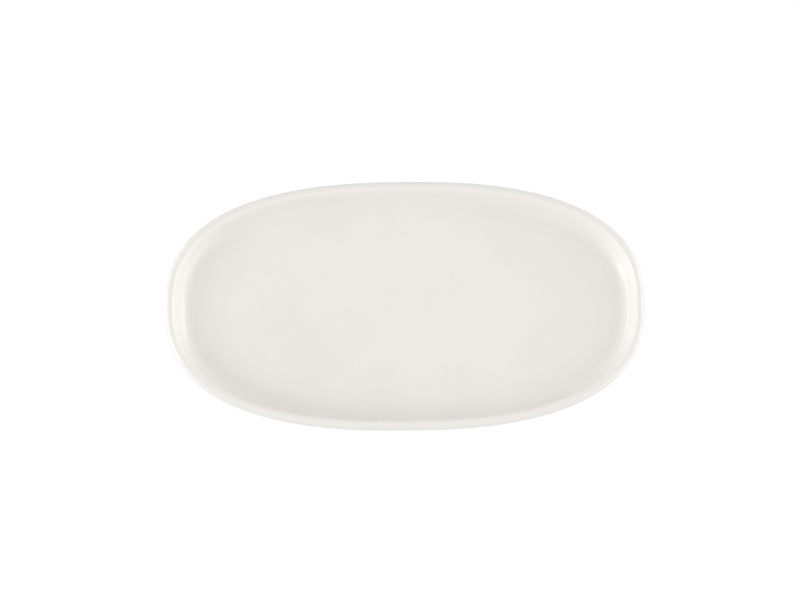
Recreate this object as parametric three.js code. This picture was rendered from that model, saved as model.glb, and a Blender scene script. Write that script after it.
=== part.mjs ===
// Oval serving plate in glazed porcelain: a pressed body with an oval foot ring, a coat of glaze over
// its face, rim and outside, and a second coat on the underside within the foot ring.
// Millimetres, +Z up, the length along X. The origin is on the table, under the plate's centre.
import * as THREE from "three";
import { mergeGeometries, mergeVertices } from "three/addons/utils/BufferGeometryUtils.js";

// The glazed plate's overall sizes
const plateLength = 310;
const plateWidth = 162;
const plateHeight = 22;
const outlineExponent = 2.48; // 2 would be an ellipse, and a higher value has squarer corners

// The wall and its rim, which is two arcs that meet at the crest
const rimOuterRadius = 4;
const rimInnerRadius = 2.2;
const wallLean = 15; // degrees outwards from upright
const wellFillet = 9; // radius between the wall's inside and the floor
const heelFillet = 12; // radius between the wall's outside and the underside

// The floor and the foot ring
const floorThickness = 5;
const baseRecess = 2.6; // from the table up to the underside within the foot ring
const heelClearance = 3; // from the table up to the underside outside the foot ring
const heelFlat = 3.4; // level part of the underside between the heel and the foot ring
const footWidth = 4.5; // across the standing face, before its edges are rounded
const footDraft = 20; // degrees that each side of the foot leans in from upright
const footFillet = 1.2; // radius between the foot's sides and the underside
const footEdge = 0.5; // radius of the standing face's edges

// The glaze
const glazeThickness = 0.3;
const bareBand = 0.8; // height of the foot's sides that is wiped clean of glaze

// Facets
const outlineSegments = 72;
const rimQuarterSteps = 4;
const wellSteps = 5;
const heelSteps = 4;
const footSteps = 2;

const { degToRad, lerp } = THREE.MathUtils;

// A profile is a list of points: x is the distance in from the outline, and y is the height.
// The body and the glaze over it share the centres of their arcs, and their radii differ by the glaze.
const outerRimCentre = new THREE.Vector2(rimOuterRadius, plateHeight - rimOuterRadius);
const innerRimCentre = new THREE.Vector2(rimOuterRadius, plateHeight - rimInnerRadius);
const floorTop = baseRecess + floorThickness;
const leanSine = Math.sin(degToRad(wallLean));
const leanCosine = Math.cos(degToRad(wallLean));

// Each fillet has its own radius, or the largest that the wall has room for below its rim.
const wellRoom = (innerRimCentre.y + rimInnerRadius * leanSine - floorTop) / (1 - leanSine);
const wellRadius = Math.min(wellFillet, wellRoom);
const wellCentre = besideWall(innerRimCentre, floorTop + wellRadius, rimInnerRadius + wellRadius);
const heelRoom = (outerRimCentre.y - rimOuterRadius * leanSine - heelClearance) / (1 - leanSine);
const heelRadius = Math.min(heelFillet, heelRoom);
const heelCentre = besideWall(outerRimCentre, heelClearance + heelRadius, heelRadius - rimOuterRadius);

// The foot ring starts where the level part of the underside ends.
const draftSine = Math.sin(degToRad(footDraft));
const draftCosine = Math.cos(degToRad(footDraft));
const footReach = footFillet + glazeThickness; // from the body's foot side to the centre of its fillet
const outerFootCentre = new THREE.Vector2(heelCentre.x + heelFlat, heelClearance - footFillet);
const footOuter = outerFootCentre.x + (footReach + outerFootCentre.y * draftSine) / draftCosine;
const footInner = footOuter + footWidth;
const innerFootCentre = besideInnerFoot(baseRecess - footFillet, footReach);

// The point at a height and at a distance inwards from a line, square to it. The line leans with the
// wall and passes through a centre of the rim.
function besideWall(centre, height, distance) {
  const rise = height - centre.y;
  return new THREE.Vector2(centre.x + (distance - rise * leanSine) / leanCosine, height);
}

// The points at a height and at a distance out from either side of the bare foot, square to that side.
function besideOuterFoot(height, distance) {
  return new THREE.Vector2(footOuter - (distance + height * draftSine) / draftCosine, height);
}

function besideInnerFoot(height, distance) {
  return new THREE.Vector2(footInner + (distance + height * draftSine) / draftCosine, height);
}

// An arc of a profile. Angles are in degrees from straight up, towards the plate's middle.
function arc(centre, radius, from, to, steps) {
  return Array.from({ length: steps + 1 }, (_, i) => {
    const angle = degToRad(lerp(from, to, i / steps));
    return new THREE.Vector2(Math.sin(angle), Math.cos(angle)).multiplyScalar(radius).add(centre);
  });
}

// The rim at a depth below the glazed surface, with points at its crest and at its widest.
function rimProfile(depth) {
  const [inner, outer] = [rimInnerRadius - depth, rimOuterRadius - depth];
  return [
    ...arc(innerRimCentre, inner, 90 - wallLean, 0, rimQuarterSteps),
    ...arc(outerRimCentre, outer, 0, -90, rimQuarterSteps).slice(1),
    ...arc(outerRimCentre, outer, -90, -90 - wallLean, 1).slice(1),
  ];
}

// The middle of the plate at a height, where a profile closes.
function middle(height) {
  return new THREE.Vector2(Infinity, height);
}

// The face, rim and outside at a depth below the glazed surface, from the middle of the well's floor
// out over the rim and in again to the edge of the glaze on the foot ring.
function faceProfile(depth) {
  return [
    middle(floorTop - depth),
    ...arc(wellCentre, wellRadius + depth, 180, 270 - wallLean, wellSteps),
    ...rimProfile(depth),
    ...arc(heelCentre, heelRadius - depth, 270 - wallLean, 180, heelSteps),
    ...arc(outerFootCentre, footFillet + depth, 0, 90 - footDraft, footSteps),
    besideOuterFoot(bareBand, glazeThickness - depth),
  ];
}

// The bare foot, from the edge of the outer glaze to the edge of the inner glaze.
function footProfile() {
  return [
    besideOuterFoot(bareBand, 0),
    ...arc(besideOuterFoot(footEdge, -footEdge), footEdge, 270 - footDraft, 180, footSteps),
    ...arc(besideInnerFoot(footEdge, -footEdge), footEdge, 180, 90 + footDraft, footSteps),
    besideInnerFoot(bareBand, 0),
  ];
}

// The underside within the foot ring at a depth below the glazed surface, from the edge of the glaze
// on the foot ring to the middle.
function baseProfile(depth) {
  return [
    besideInnerFoot(bareBand, glazeThickness - depth),
    ...arc(innerFootCentre, footFillet + depth, footDraft - 90, 0, footSteps),
    middle(baseRecess + depth),
  ];
}

// Points of the outline, a superellipse, each with its outward direction.
const outline = Array.from({ length: outlineSegments }, (_, i) => {
  const turn = (2 * Math.PI * i) / outlineSegments;
  const power = (value, exponent) => Math.sign(value) * Math.abs(value) ** exponent;
  const place = (value) => power(value, 2 / outlineExponent);
  const slope = (value) => power(value, 2 - 2 / outlineExponent);
  const [cosine, sine] = [Math.cos(turn), Math.sin(turn)];
  return {
    point: new THREE.Vector2((plateLength / 2) * place(cosine), (plateWidth / 2) * place(sine)),
    outward: new THREE.Vector2(slope(cosine) / plateLength, slope(sine) / plateWidth).normalize(),
  };
});

// A surface swept round the outline. It faces up where its profile runs outwards. A flipped one has
// the same triangles and faces the other way, so that a body and its glaze meet without a gap.
function sweep(profile, flipped = false) {
  const positions = profile.flatMap(({ x: inset, y: height }) =>
    outline.flatMap(({ point, outward }) =>
      inset === Infinity
        ? [0, 0, height]
        : [point.x - outward.x * inset, point.y - outward.y * inset, height],
    ),
  );
  const triangles = [];
  for (let ring = 0; ring + 1 < profile.length; ring++) {
    const [here, there] = [ring * outlineSegments, (ring + 1) * outlineSegments];
    for (let i = 0; i < outlineSegments; i++) {
      const next = (i + 1) % outlineSegments;
      if (profile[ring + 1].x !== Infinity) triangles.push([here + i, there + i, there + next]);
      if (profile[ring].x !== Infinity) triangles.push([here + i, there + next, here + next]);
    }
  }
  if (flipped) triangles.forEach((triangle) => triangle.reverse());
  return new THREE.BufferGeometry()
    .setAttribute("position", new THREE.Float32BufferAttribute(positions, 3))
    .setIndex(triangles.flat());
}

// A closed piece of surfaces that meet at their edges.
function piece(name, material, surfaces) {
  const geometry = mergeVertices(mergeGeometries(surfaces));
  geometry.computeVertexNormals();
  const mesh = new THREE.Mesh(geometry, material);
  mesh.name = name;
  return mesh;
}

function porcelainBody() {
  const bare = new THREE.MeshStandardMaterial({ color: 0xe3ddd2, roughness: 0.7, metalness: 0 });
  return piece("porcelain_body", bare, [
    sweep(faceProfile(glazeThickness)),
    sweep(footProfile()),
    sweep(baseProfile(glazeThickness)),
  ]);
}

// A coat of glaze lies between its outer surface and the body's surface under it.
function glazeCoat(name, outer, inner, edge) {
  const glaze = new THREE.MeshStandardMaterial({ color: 0xece9e3, roughness: 0.12, metalness: 0 });
  return piece(name, glaze, [sweep(outer), sweep(inner, true), sweep(edge)]);
}

function faceGlaze() {
  const [outer, inner] = [faceProfile(0), faceProfile(glazeThickness)];
  return glazeCoat("face_glaze", outer, inner, [outer.at(-1), inner.at(-1)]);
}

function baseGlaze() {
  const [outer, inner] = [baseProfile(0), baseProfile(glazeThickness)];
  return glazeCoat("base_glaze", outer, inner, [inner.at(0), outer.at(0)]);
}

const plate = new THREE.Group();
plate.add(porcelainBody(), faceGlaze(), baseGlaze());

export default plate;
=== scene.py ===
import bmesh
import bpy
from math import atan2, copysign, cos, hypot, pi, radians, sin
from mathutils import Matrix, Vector


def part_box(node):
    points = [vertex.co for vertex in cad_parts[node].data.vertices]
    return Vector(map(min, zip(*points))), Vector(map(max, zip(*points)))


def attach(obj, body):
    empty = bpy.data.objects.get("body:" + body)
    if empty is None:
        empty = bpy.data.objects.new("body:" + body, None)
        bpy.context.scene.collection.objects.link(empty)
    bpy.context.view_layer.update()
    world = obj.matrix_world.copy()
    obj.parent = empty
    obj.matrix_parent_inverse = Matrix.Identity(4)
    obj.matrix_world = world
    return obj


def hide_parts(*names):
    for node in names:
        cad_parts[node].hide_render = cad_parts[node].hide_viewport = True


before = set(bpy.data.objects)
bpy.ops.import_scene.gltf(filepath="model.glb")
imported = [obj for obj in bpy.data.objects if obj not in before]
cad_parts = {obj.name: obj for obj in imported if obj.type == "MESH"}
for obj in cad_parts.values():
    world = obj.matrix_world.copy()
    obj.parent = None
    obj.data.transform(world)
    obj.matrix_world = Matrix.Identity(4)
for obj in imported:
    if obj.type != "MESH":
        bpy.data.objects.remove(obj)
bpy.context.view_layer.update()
low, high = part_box("face_glaze")  # this coat reaches the plate's full length, width and height
mm = 0.001
quarter = pi / 2  # of a full turn
print("frame loaded:", ", ".join(sorted(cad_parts)))

plate = {
    "length": high.x - low.x,
    "width": high.y - low.y,
    "height": high.z,
    "exponent": 2.48,  # of the outline: 2 is an ellipse, more has squarer corners
    "segments": 240,  # round the outline
    "wheelRadius": 81 * mm,  # of the round plate that is spun and then drawn out to the oval
    "evenInset": 28 * mm,  # rings this close to the outline run parallel to it
    "levelRings": 9,  # between a fillet and the middle
    "weld": 0.001 * mm,  # points closer than this become one
    "sharpFrom": radians(40),  # an edge that bends this much stays sharp
}
wall = {
    "outerRim": 4 * mm,  # radii of the rim's two arcs, which meet at its crest
    "innerRim": 2.2 * mm,
    "lean": radians(15),  # outwards from upright
    "wellRadius": 9 * mm,  # between the wall's inside and the floor
    "heelRadius": 12 * mm,  # between the wall's outside and the underside
    "outerRimSteps": 16,
    "innerRimSteps": 12,
    "wellSteps": 16,
    "heelSteps": 12,
}
foot = {
    "floorThickness": 5 * mm,
    "recess": 2.6 * mm,  # table to the underside within the foot ring
    "clearance": 3 * mm,  # table to the underside outside the foot ring
    "heelFlat": 3.4 * mm,  # level underside between the heel and the foot ring
    "width": 4.5 * mm,  # across the standing face, before its edges are rounded
    "draft": radians(20),  # lean of the foot's sides
    "fillet": 1.2 * mm,
    "edge": 0.5 * mm,  # rounding of the standing face's edges
    "filletSteps": 6,
    "edgeSteps": 5,
}
glaze = {
    "thickness": 0.3 * mm,
    "bareBand": 0.8 * mm,  # height of the foot's sides that is wiped clean
    "roll": 0.2 * mm,  # rounding of the glaze's edge
    "rollSteps": 4,
}


def besideWall(centre, height, distance):  # inwards from a line that leans with the wall
    rise = height - centre[1]
    return centre[0] + (distance - rise * sin(wall["lean"])) / cos(wall["lean"]), height


def besideFoot(edge, side, height, distance):  # outwards from the foot's side, square to it
    return edge + side * (distance + height * sin(foot["draft"])) / cos(foot["draft"]), height


# points of the profile are (distance in from the outline, height)
outerRimCentre = (wall["outerRim"], plate["height"] - wall["outerRim"])
innerRimCentre = (wall["outerRim"], plate["height"] - wall["innerRim"])
floorTop = foot["recess"] + foot["floorThickness"]
wellTop = floorTop + wall["wellRadius"]
heelTop = foot["clearance"] + wall["heelRadius"]
wellCentre = besideWall(innerRimCentre, wellTop, wall["innerRim"] + wall["wellRadius"])
heelCentre = besideWall(outerRimCentre, heelTop, wall["heelRadius"] - wall["outerRim"])
footReach = foot["fillet"] + glaze["thickness"]  # bare foot to the centre of its fillet
outerFootCentre = (heelCentre[0] + foot["heelFlat"], foot["clearance"] - foot["fillet"])
footOuter = besideFoot(outerFootCentre[0], 1, outerFootCentre[1], footReach)[0]
footInner = footOuter + foot["width"]
innerFootCentre = besideFoot(footInner, 1, foot["recess"] - foot["fillet"], footReach)


def arc(centre, radius, start, end, steps):  # angles from straight up, towards the plate's middle
    angles = [start + (end - start) * i / steps for i in range(steps + 1)]
    return [(centre[0] + radius * sin(a), centre[1] + radius * cos(a)) for a in angles]


def level(inset, height):  # level rings from an inset to the plate's middle
    rings = plate["levelRings"]
    reach = plate["wheelRadius"] - inset
    return [(plate["wheelRadius"] - reach * (1 - i / rings), height) for i in range(1, rings + 1)]


def faceLine(depth):  # well, rim and outside, from the middle of the floor to the glaze's edge
    lean = wall["lean"]
    wallTurn = 3 * quarter - lean  # where an arc runs into the wall
    footTurn = quarter - foot["draft"]  # where an arc runs into the foot's side
    well = arc(wellCentre, wall["wellRadius"] + depth, pi, wallTurn, wall["wellSteps"])
    floor = level(*well[0])
    rim = arc(innerRimCentre, wall["innerRim"] - depth, quarter - lean, 0, wall["innerRimSteps"])
    rim += arc(outerRimCentre, wall["outerRim"] - depth, 0, -quarter - lean, wall["outerRimSteps"])[1:]
    heel = arc(heelCentre, wall["heelRadius"] - depth, wallTurn, pi, wall["heelSteps"])
    turn = arc(outerFootCentre, foot["fillet"] + depth, 0, footTurn, foot["filletSteps"])
    return floor[::-1] + well + rim + heel + turn


def baseLine(depth):  # underside within the foot ring, from the glaze's edge to the middle
    footTurn = foot["draft"] - quarter
    turn = arc(innerFootCentre, foot["fillet"] + depth, footTurn, 0, foot["filletSteps"])
    return turn + level(*turn[-1])


def footLine():  # bare standing face with its two rounded edges
    edge, draft, steps = foot["edge"], foot["draft"], foot["edgeSteps"]
    outerCentre = besideFoot(footOuter, -1, edge, -edge)
    innerCentre = besideFoot(footInner, 1, edge, -edge)
    outer = arc(outerCentre, edge, 3 * quarter - draft, pi, steps)
    inner = arc(innerCentre, edge, pi, quarter + draft, steps)
    return outer + inner


def glazeEdge(edge, side):  # the coat's rolled edge on one side of the foot, down to the bare clay
    roll, steps = glaze["roll"], glaze["rollSteps"]
    turns = [quarter * i / steps for i in range(steps + 1)]
    rolled = [
        (glaze["bareBand"] + roll * (1 - sin(t)), glaze["thickness"] - roll * (1 - cos(t)))
        for t in turns
    ]
    rolled.append((glaze["bareBand"], 0))
    return [besideFoot(edge, side, *point) for point in rolled]


def signedPower(value, power):
    return copysign(abs(value) ** power, value)


def ovalPoint(turn, inset):  # on the ring that lies this far in from the outline
    power = 2 / plate["exponent"]
    along, across = cos(turn), sin(turn)
    x = signedPower(along, power) * plate["length"] / 2
    y = signedPower(across, power) * plate["width"] / 2
    outX = signedPower(along, 2 - power) / plate["length"]  # square to the outline
    outY = signedPower(across, 2 - power) / plate["width"]
    size = hypot(outX, outY)
    even = min(inset, plate["evenInset"])
    far = plate["wheelRadius"] - plate["evenInset"]
    shrink = min(1, (plate["wheelRadius"] - inset) / far)  # towards the middle, past the even rings
    return (x - outX / size * even) * shrink, (y - outY / size * even) * shrink


def addObject(name, data):
    thing = bpy.data.objects.new(name, data)
    bpy.context.scene.collection.objects.link(thing)
    return thing


def addMesh(name, bm):
    mesh = bpy.data.meshes.new(name)
    bm.to_mesh(mesh)
    bm.free()
    return addObject(name, mesh)


def turnPlate(name, line):  # a piece spun from its profile
    bm = bmesh.new()
    points = [bm.verts.new((plate["wheelRadius"] - inset, 0, height)) for inset, height in line]
    edges = [bm.edges.new(pair) for pair in zip(points, points[1:])]
    bmesh.ops.spin(
        bm, geom=points + edges, cent=(0, 0, 0), axis=(0, 0, 1), angle=2 * pi,
        steps=plate["segments"], use_merge=True,
    )
    for v in bm.verts:  # from the round plate to the oval one
        x, y, z = v.co
        v.co = (*ovalPoint(atan2(y, x), plate["wheelRadius"] - hypot(x, y)), z)
    bmesh.ops.remove_doubles(bm, verts=bm.verts, dist=plate["weld"])
    bmesh.ops.recalc_face_normals(bm, faces=bm.faces)
    for face in bm.faces:
        face.smooth = True
    for edge in bm.edges:
        edge.smooth = edge.calc_face_angle(0) < plate["sharpFrom"]
    piece = addMesh(name, bm)
    print(name, len(piece.data.polygons), "faces")
    return piece


def linear(code):  # an sRGB hex colour as linear light
    parts = [int(code[i : i + 2], 16) / 255 for i in (1, 3, 5)]
    return tuple(p / 12.92 if p < 0.04045 else ((p + 0.055) / 1.055) ** 2.4 for p in parts) + (1,)


def addNode(tree, kind, sockets=None, **settings):  # a socket's value is a number, a colour or a link
    node = tree.nodes.new(kind)
    for name, value in settings.items():
        setattr(node, name, value)
    for name, value in (sockets or {}).items():
        if isinstance(value, bpy.types.NodeSocket):
            tree.links.new(value, node.inputs[name])
        else:
            node.inputs[name].default_value = value
    return node


def newMaterial(name):
    material = bpy.data.materials.new(name)
    material.use_nodes = True
    material.node_tree.nodes.clear()
    return material, material.node_tree


noiseLow, noiseHigh = 0.3, 0.7  # most of a noise lies between these


def glazedPorcelain():
    # fired under clear glass: warm white and glossy, with faint clouds of tone, painted shade that
    # greys the rim top a little, and reflections that ripple a little
    look = {
        "tone": "#ebe8e3",
        "pale": "#eeebe7",  # in the clouds
        "cloud": 45 * mm,
        "cloudDetail": 2,
        "thin": "#eae7e3",  # painted shade on the rim top, slightly darker and greyer
        "rimShadeFrom": 18 * mm,  # heights between which it comes in
        "thinTo": 21 * mm,
        "gloss": (0.06, 0.1),  # roughness, by the haze
        "haze": 25 * mm,
        "hazeDetail": 2,
        "ripple": 4 * mm,
        "rippleDetail": 1,
        "rippleDepth": 0.008 * mm,
        "ior": 1.5,
    }
    material, tree = newMaterial("glazed porcelain")
    place = addNode(tree, "ShaderNodeTexCoord").outputs["Object"]
    cloud = addNode(tree, "ShaderNodeTexNoise", {
        "Vector": place, "Scale": 1 / look["cloud"], "Detail": look["cloudDetail"],
    })
    cloudShare = addNode(tree, "ShaderNodeMapRange", {
        "Value": cloud.outputs["Fac"], "From Min": noiseLow, "From Max": noiseHigh,
    })
    clouded = addNode(tree, "ShaderNodeMix", {
        "Factor": cloudShare.outputs["Result"], "A": linear(look["tone"]), "B": linear(look["pale"]),
    }, data_type="RGBA")
    height = addNode(tree, "ShaderNodeSeparateXYZ", {"Vector": place})
    # painted shade: the rim top is mixed towards a darker, greyer tone by height
    rimShadeShare = addNode(tree, "ShaderNodeMapRange", {
        "Value": height.outputs["Z"], "From Min": look["rimShadeFrom"], "From Max": look["thinTo"],
    })
    tone = addNode(tree, "ShaderNodeMix", {
        "Factor": rimShadeShare.outputs["Result"],
        "A": clouded.outputs["Result"],
        "B": linear(look["thin"]),
    }, data_type="RGBA")
    haze = addNode(tree, "ShaderNodeTexNoise", {
        "Vector": place, "Scale": 1 / look["haze"], "Detail": look["hazeDetail"],
    })
    gloss = addNode(tree, "ShaderNodeMapRange", {
        "Value": haze.outputs["Fac"], "From Min": noiseLow, "From Max": noiseHigh,
        "To Min": look["gloss"][0], "To Max": look["gloss"][1],
    })
    ripple = addNode(tree, "ShaderNodeTexNoise", {
        "Vector": place, "Scale": 1 / look["ripple"], "Detail": look["rippleDetail"],
    })
    bump = addNode(tree, "ShaderNodeBump", {
        "Height": ripple.outputs["Fac"], "Distance": look["rippleDepth"],
    })
    shader = addNode(tree, "ShaderNodeBsdfPrincipled", {
        "Base Color": tone.outputs["Result"],
        "Roughness": gloss.outputs["Result"],
        "IOR": look["ior"],
        "Normal": bump.outputs["Normal"],
    })
    addNode(tree, "ShaderNodeOutputMaterial", {"Surface": shader.outputs[0]})
    return material


def barePorcelain():
    # unglazed, ground foot: matt and chalky with a fine grit, greyer where it has rubbed
    look = {
        "tone": "#e3ddd2",
        "rubbed": "#d3ccbf",
        "rub": 9 * mm,
        "rubDetail": 3,
        "roughness": (0.6, 0.8),  # by the grit
        "grit": 0.5 * mm,  # coarser than real grit, so that it shows
        "gritDetail": 2,
        "gritDepth": 0.02 * mm,
        "ior": 1.5,
    }
    material, tree = newMaterial("bare porcelain")
    place = addNode(tree, "ShaderNodeTexCoord").outputs["Object"]
    rub = addNode(tree, "ShaderNodeTexNoise", {
        "Vector": place, "Scale": 1 / look["rub"], "Detail": look["rubDetail"],
    })
    rubShare = addNode(tree, "ShaderNodeMapRange", {
        "Value": rub.outputs["Fac"], "From Min": noiseLow, "From Max": noiseHigh,
    })
    tone = addNode(tree, "ShaderNodeMix", {
        "Factor": rubShare.outputs["Result"], "A": linear(look["tone"]), "B": linear(look["rubbed"]),
    }, data_type="RGBA")
    grit = addNode(tree, "ShaderNodeTexNoise", {
        "Vector": place, "Scale": 1 / look["grit"], "Detail": look["gritDetail"],
    })
    roughness = addNode(tree, "ShaderNodeMapRange", {
        "Value": grit.outputs["Fac"], "From Min": noiseLow, "From Max": noiseHigh,
        "To Min": look["roughness"][0], "To Max": look["roughness"][1],
    })
    bump = addNode(tree, "ShaderNodeBump", {
        "Height": grit.outputs["Fac"], "Distance": look["gritDepth"],
    })
    shader = addNode(tree, "ShaderNodeBsdfPrincipled", {
        "Base Color": tone.outputs["Result"],
        "Roughness": roughness.outputs["Result"],
        "IOR": look["ior"],
        "Normal": bump.outputs["Normal"],
    })
    addNode(tree, "ShaderNodeOutputMaterial", {"Surface": shader.outputs[0]})
    return material


upper, lower = faceLine(0), faceLine(glaze["thickness"])
under, over = baseLine(0), baseLine(glaze["thickness"])
outerEdge, innerEdge = glazeEdge(footOuter, -1), glazeEdge(footInner, 1)

faceCoat = turnPlate("faceGlaze", upper + outerEdge + lower[::-1])
baseCoat = turnPlate("baseGlaze", over[::-1] + innerEdge[::-1] + under)
body = turnPlate("porcelainBody", lower + [outerEdge[-1]] + footLine() + [innerEdge[-1]] + over)

glazed, bare = glazedPorcelain(), barePorcelain()
for piece, node, slot, material in (
    (faceCoat, "face_glaze", "white_glaze", glazed),
    (baseCoat, "base_glaze", "white_glaze", glazed),
    (body, "porcelain_body", "bare_porcelain", bare),
):
    piece.data.materials.append(material)
    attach(piece, "root")
    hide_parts(node)
print("pieces glazed and joined to the frame")

view = {
    "turn": radians(-0.52),  # about the upright
    "elevation": radians(82),
    "distance": 1.5,  # metres
    "pixelsPerMetre": 1548,  # in the plane where the rim is widest
    "plateAt": (405, 305.4),  # pixel of the plate's middle
    "frame": (800, 600),
}


def addCamera():
    data = bpy.data.cameras.new("camera")
    camera = addObject("camera", data)
    back = Vector((
        sin(view["turn"]) * cos(view["elevation"]),
        -cos(view["turn"]) * cos(view["elevation"]),
        sin(view["elevation"]),
    ))
    turned = (-back).to_track_quat("-Z", "Y")
    right, up = turned @ Vector((1, 0, 0)), turned @ Vector((0, 1, 0))
    sideways = (view["frame"][0] / 2 - view["plateAt"][0]) / view["pixelsPerMetre"]
    upwards = (view["plateAt"][1] - view["frame"][1] / 2) / view["pixelsPerMetre"]
    aim = Vector((0, 0, outerRimCentre[1])) + right * sideways + up * upwards
    data.lens = data.sensor_width * view["distance"] * view["pixelsPerMetre"] / view["frame"][0]
    camera.location = aim + back * view["distance"]
    camera.rotation_mode = "QUATERNION"
    camera.rotation_quaternion = turned
    bpy.context.scene.camera = camera


# bearings in degrees from +X towards +Y, lengths in metres, powers in watts
lamps = {
    "leftSoftbox": {"bearing": 194, "away": 4.6, "height": 2.4, "size": (1.5, 2.4), "power": 40},
    "leftPanel": {"bearing": 200, "away": 4.7, "height": 2.2, "size": (4.4, 4.4), "power": 30},
    "leftReflector": {"bearing": 180, "away": 5.2, "height": 0.56, "size": (9.6, 0.96), "power": 98},
    "rightSoftbox": {"bearing": 14, "away": 4.6, "height": 2.0, "size": (1.6, 2.4), "power": 19},
    "rightPanel": {"bearing": -12, "away": 4.8, "height": 2.0, "size": (9.6, 4.2), "power": 80},
    "rightReflector": {"bearing": -4, "away": 5.2, "height": 0.56, "size": (9.6, 0.96), "power": 74},
}


def addLamps():
    for name, lamp in lamps.items():
        data = bpy.data.lights.new(name, "AREA")
        data.shape = "RECTANGLE"
        data.size, data.size_y = lamp["size"]
        data.energy = lamp["power"]
        light = addObject(name, data)
        bearing = radians(lamp["bearing"])
        light.location = (cos(bearing) * lamp["away"], sin(bearing) * lamp["away"], lamp["height"])
        light.rotation_mode = "QUATERNION"
        light.rotation_quaternion = (-light.location).to_track_quat("-Z", "Y")


room = {
    "air": 0.78,  # strength of the even light all round
    "floorTone": "#aaaaaa",
    "reach": 3.0,  # metres from the floor's middle to its sides
    "glow": 0.7,  # whitens the floor for the eye and in reflections
}


def addAir():
    world = bpy.data.worlds.new("studio")
    bpy.context.scene.world = world
    world.use_nodes = True
    tree = world.node_tree
    tree.nodes.clear()
    air = addNode(tree, "ShaderNodeBackground", {"Color": (1, 1, 1, 1), "Strength": room["air"]})
    addNode(tree, "ShaderNodeOutputWorld", {"Surface": air.outputs[0]})


def addFloor():
    bm = bmesh.new()
    bmesh.ops.create_grid(bm, x_segments=1, y_segments=1, size=room["reach"])
    floor = addMesh("floor", bm)
    material, tree = newMaterial("white studio floor")
    path = addNode(tree, "ShaderNodeLightPath")
    seen = path.outputs["Is Camera Ray"]
    for ray in ("Is Glossy Ray", "Is Transmission Ray"):  # the floor looks white in reflections too
        either = addNode(tree, "ShaderNodeMath", {0: seen, 1: path.outputs[ray]}, operation="MAXIMUM")
        seen = either.outputs[0]
    paint = addNode(tree, "ShaderNodeBsdfDiffuse", {"Color": linear(room["floorTone"])})
    glow = addNode(tree, "ShaderNodeEmission", {"Strength": room["glow"]})
    lit = addNode(tree, "ShaderNodeAddShader", {0: paint.outputs[0], 1: glow.outputs[0]})
    mix = addNode(tree, "ShaderNodeMixShader", {0: seen, 1: paint.outputs[0], 2: lit.outputs[0]})
    addNode(tree, "ShaderNodeOutputMaterial", {"Surface": mix.outputs[0]})
    floor.data.materials.append(material)


addCamera()
addLamps()
addAir()
addFloor()
bpy.context.scene.view_settings.view_transform = "Standard"
print("camera, lamps and floor placed")
